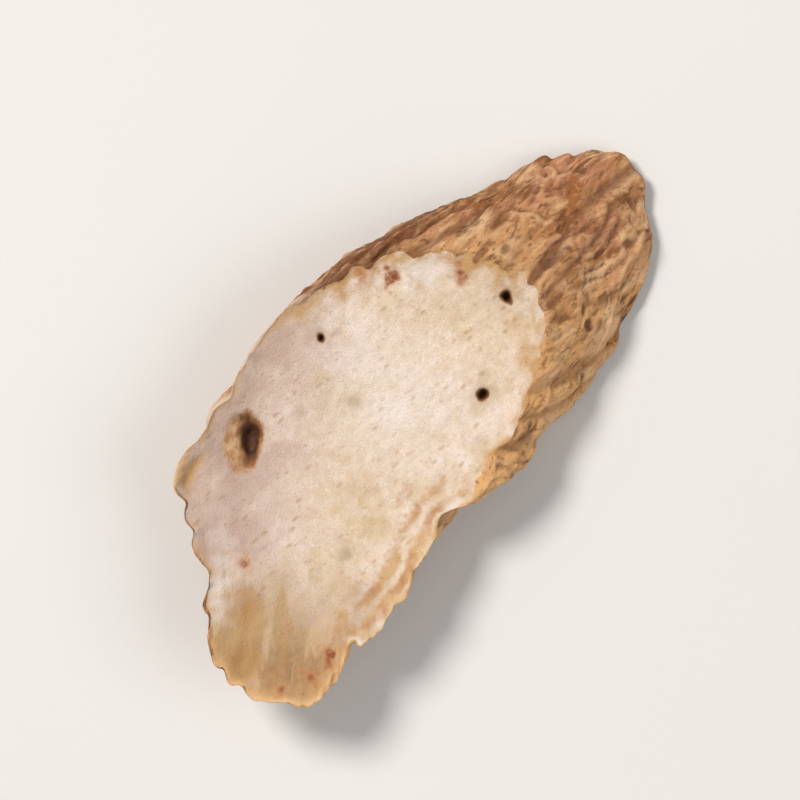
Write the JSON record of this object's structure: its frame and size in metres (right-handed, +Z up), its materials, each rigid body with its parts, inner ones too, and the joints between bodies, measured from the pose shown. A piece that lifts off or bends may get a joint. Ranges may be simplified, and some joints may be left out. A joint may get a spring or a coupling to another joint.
{
  "type": "dried solomons seal slice",
  "caption": "Slanted slice of dried Solomon's seal rhizome with pale cut faces and a wrinkled brown skin, lying flat.",
  "frame": {"origin": "bottom centre of the slice's bounding box, in the plane of the surface that it lies on", "axes": "+X along the slice's length, towards the tip that the skin covers; +Z up through both cut faces, out of the upper one"},
  "size_m": [0.0284, 0.013, 0.0043],
  "materials": {
    "slice": "matt, mealy cut flesh with a dull brown, wrinkled skin"
  },
  "bodies": {
    "root": {"slice": "slice"}
  },
  "joints": []
}
